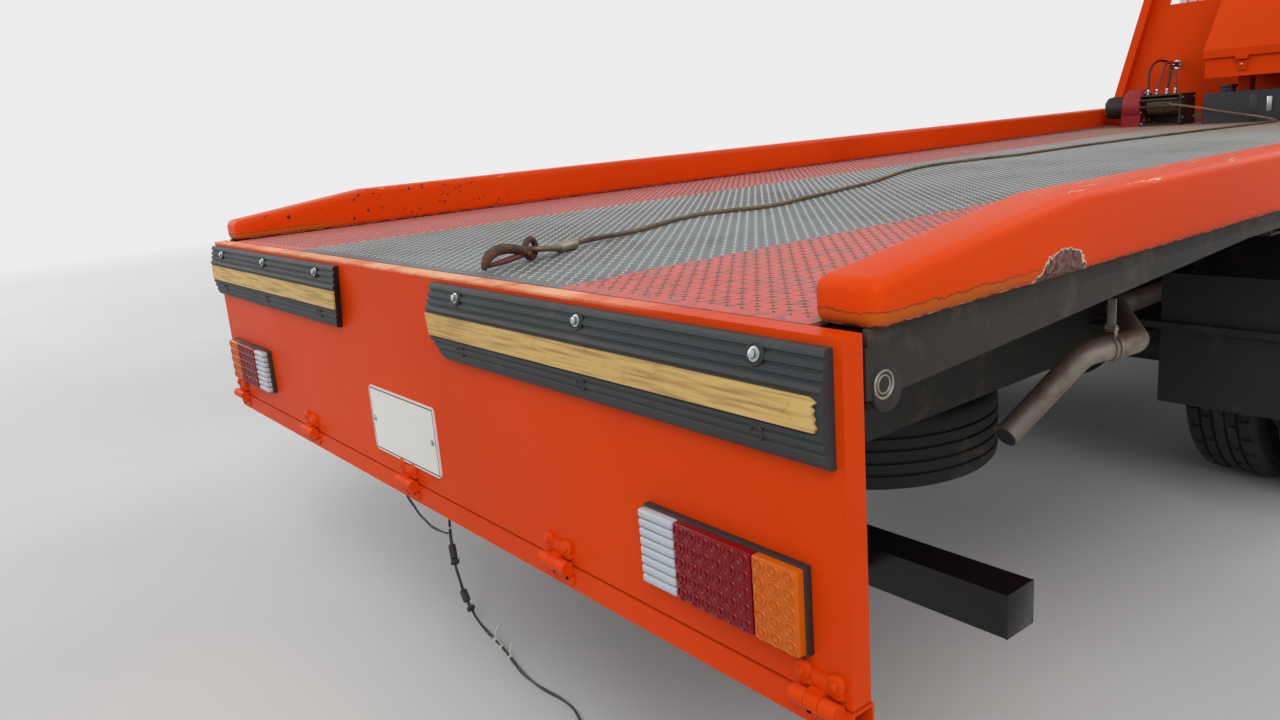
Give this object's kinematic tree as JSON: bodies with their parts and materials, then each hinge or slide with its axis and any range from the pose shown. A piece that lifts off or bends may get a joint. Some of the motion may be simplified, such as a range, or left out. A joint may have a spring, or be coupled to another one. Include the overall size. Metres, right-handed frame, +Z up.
{
  "type": "slide-bed recovery truck",
  "caption": "Forward-control flatbed recovery truck with a sliding, tilting bed, drop-down tailboard, winch, tilting cab and steered front wheels.",
  "frame": {"origin": "on the ground, under the middle of the truck's box", "axes": "+X forward, +Y to the truck's left, +Z up"},
  "size_m": [7.675, 2.59, 2.3899],
  "materials": {
    "chassis_paint": "satin black chassis paint, dusty",
    "rope_steel": "stranded steel wire rope, greasy and brown with rust",
    "hook_steel": "forged steel hook, brown with rust",
    "hose_rubber": "rubber hydraulic hose",
    "loom_plastic": "corrugated conduit and taped wires, dusty",
    "spring_steel": "black spring steel, rusty at the clips",
    "cast_iron": "cast iron block",
    "tank_metal": "painted sheet steel",
    "black_plastic": "moulded black plastic",
    "guard_metal": "extruded aluminium",
    "exhaust_steel": "heat-stained steel tube",
    "tyre_rubber": "black tyre rubber, dusty",
    "black_rubber": "moulded black rubber",
    "cab_paint": "white enamel",
    "rim_paint": "silver wheel paint",
    "black_paint": "dull black brushed paint with rust",
    "black_gloss": "fresh gloss black paint",
    "chrome_rod": "hard chrome",
    "tread_plate": "worn tread plate, grey and red",
    "orange_paint": "gloss orange enamel, chipped",
    "winch_paint": "red winch enamel, oily",
    "drum_steel": "worn steel drum",
    "lamp_lens": "moulded lamp lenses, red, amber and clear",
    "plate_white": "blank white pressed plate",
    "window_glass": "laminated glass",
    "seat_fabric": "woven grey seat cloth",
    "dash_plastic": "grained grey plastic",
    "grille_plastic": "moulded grille plastic",
    "lamp_clear": "clear lamp lens over a bright reflector",
    "amber_lens": "amber beacon lens"
  },
  "bodies": {
    "chassis": {"chassis_frame": "chassis_paint", "front_axle": "chassis_paint", "rear_axle": "chassis_paint", "leaf_springs": "spring_steel", "engine_block": "cast_iron", "fuel_tank": "tank_metal", "battery_box": "black_plastic", "side_guards": "guard_metal", "exhaust": "exhaust_steel", "spare_wheel": "tyre_rubber", "rear_mudguards": "black_rubber", "front_bumper": "cab_paint"},
    "knuckle_left": {"knuckle_left": "chassis_paint"},
    "knuckle_right": {"knuckle_right": "chassis_paint"},
    "wheel_front_left": {"tyre_front_left": "tyre_rubber", "rim_front_left": "rim_paint"},
    "wheel_front_right": {"tyre_front_right": "tyre_rubber", "rim_front_right": "rim_paint"},
    "wheels_rear_left": {"tyres_rear_left": "tyre_rubber", "rims_rear_left": "rim_paint"},
    "wheels_rear_right": {"tyres_rear_right": "tyre_rubber", "rims_rear_right": "rim_paint"},
    "tilt_frame": {"tilt_frame": "chassis_paint"},
    "tilt_barrels": {"tilt_barrels": "black_paint"},
    "tilt_rods": {"tilt_rods": "chrome_rod"},
    "bed": {"bed_beams": "chassis_paint", "bed_deck": "tread_plate", "side_rails": "orange_paint", "side_sills": "black_paint", "headboard": "orange_paint", "toolbox": "orange_paint", "oil_tank": "black_paint", "winch": "winch_paint", "lower_rail": "orange_paint", "underrun_frame": "black_gloss", "winch_rope": "rope_steel", "rope_hook": "hook_steel", "winch_hoses": "hose_rubber", "lamp_loom": "loom_plastic", "lamp_loom_branch": "loom_plastic"},
    "toolbox_lid": {"toolbox_lid": "orange_paint"},
    "winch_drum": {"winch_drum": "drum_steel"},
    "tailboard": {"tailboard": "orange_paint", "rubber_bumpers": "black_rubber", "rear_lamps": "lamp_lens", "number_plate": "plate_white"},
    "cab": {"cab_shell": "cab_paint", "cab_glass": "window_glass", "seats": "seat_fabric", "dashboard": "dash_plastic", "steering_wheel": "dash_plastic", "grille": "grille_plastic", "headlamps": "lamp_clear", "mirrors": "black_plastic", "light_bar": "amber_lens", "cab_steps": "black_plastic"},
    "door_left": {"door_left": "cab_paint", "door_glass_left": "window_glass"},
    "door_right": {"door_right": "cab_paint", "door_glass_right": "window_glass"}
  },
  "joints": [
    {"name": "steer_left", "type": "hinge", "parent": "chassis", "child": "knuckle_left", "pos_m": [2.6575, 0.72, 0.395], "axis": [0, 0, 1], "range_deg": [-34, 34]},
    {"name": "steer_right", "type": "hinge", "parent": "chassis", "child": "knuckle_right", "pos_m": [2.6575, -0.72, 0.395], "axis": [0, 0, 1], "range_deg": [-34, 34]},
    {"name": "front_wheel_left", "type": "hinge", "parent": "knuckle_left", "child": "wheel_front_left", "pos_m": [2.6575, 0.845, 0.395], "axis": [0, 1, 0], "continuous": true},
    {"name": "front_wheel_right", "type": "hinge", "parent": "knuckle_right", "child": "wheel_front_right", "pos_m": [2.6575, -0.845, 0.395], "axis": [0, 1, 0], "continuous": true},
    {"name": "rear_wheels_left", "type": "hinge", "parent": "chassis", "child": "wheels_rear_left", "pos_m": [-0.9925, 0.825, 0.395], "axis": [0, 1, 0], "continuous": true},
    {"name": "rear_wheels_right", "type": "hinge", "parent": "chassis", "child": "wheels_rear_right", "pos_m": [-0.9925, -0.825, 0.395], "axis": [0, 1, 0], "continuous": true},
    {"name": "bed_tilt", "type": "hinge", "parent": "chassis", "child": "tilt_frame", "pos_m": [-3.2105, 0, 0.64], "axis": [0, -1, 0], "range_deg": [0, 13]},
    {"name": "bed_slide", "type": "slide", "parent": "tilt_frame", "child": "bed", "axis": [-1, 0, 0], "range_m": [0, 1.9]},
    {"name": "tilt_barrel_swing", "type": "hinge", "parent": "chassis", "child": "tilt_barrels", "pos_m": [-2.0525, 0, 0.56], "axis": [0, -1, 0], "range_deg": [0, 24.5]},
    {"name": "tilt_rod_slide", "type": "slide", "parent": "tilt_barrels", "child": "tilt_rods", "axis": [0.9912, 0, 0.1322], "range_m": [0, 0.105]},
    {"name": "tailboard_fold", "type": "hinge", "parent": "bed", "child": "tailboard", "pos_m": [-3.8065, 0, 0.6095], "axis": [0, 1, 0], "range_deg": [-180, 0]},
    {"name": "toolbox_lid_hinge", "type": "hinge", "parent": "bed", "child": "toolbox_lid", "pos_m": [1.5715, 0, 1.861], "axis": [0, 1, 0], "range_deg": [0, 90]},
    {"name": "winch_drum_spin", "type": "hinge", "parent": "bed", "child": "winch_drum", "pos_m": [1.4475, 0.76, 1.192], "axis": [0, 1, 0], "continuous": true},
    {"name": "cab_tilt", "type": "hinge", "parent": "chassis", "child": "cab", "pos_m": [3.7005, 0, 0.68], "axis": [0, 1, 0], "range_deg": [0, 40]},
    {"name": "door_left_hinge", "type": "hinge", "parent": "cab", "child": "door_left", "pos_m": [3.5005, 1.034, 1.2], "axis": [0, 0, 1], "range_deg": [-68, 0]},
    {"name": "door_right_hinge", "type": "hinge", "parent": "cab", "child": "door_right", "pos_m": [3.5005, -1.034, 1.2], "axis": [0, 0, -1], "range_deg": [-68, 0]}
  ],
  "couplings": [
    {"joint": "steer_right", "follows": "steer_left", "ratio": 1},
    {"joint": "tilt_barrel_swing", "follows": "bed_tilt", "ratio": 1.7685},
    {"joint": "tilt_rod_slide", "follows": "bed_tilt", "m_per_rad": 0.41654}
  ]
}
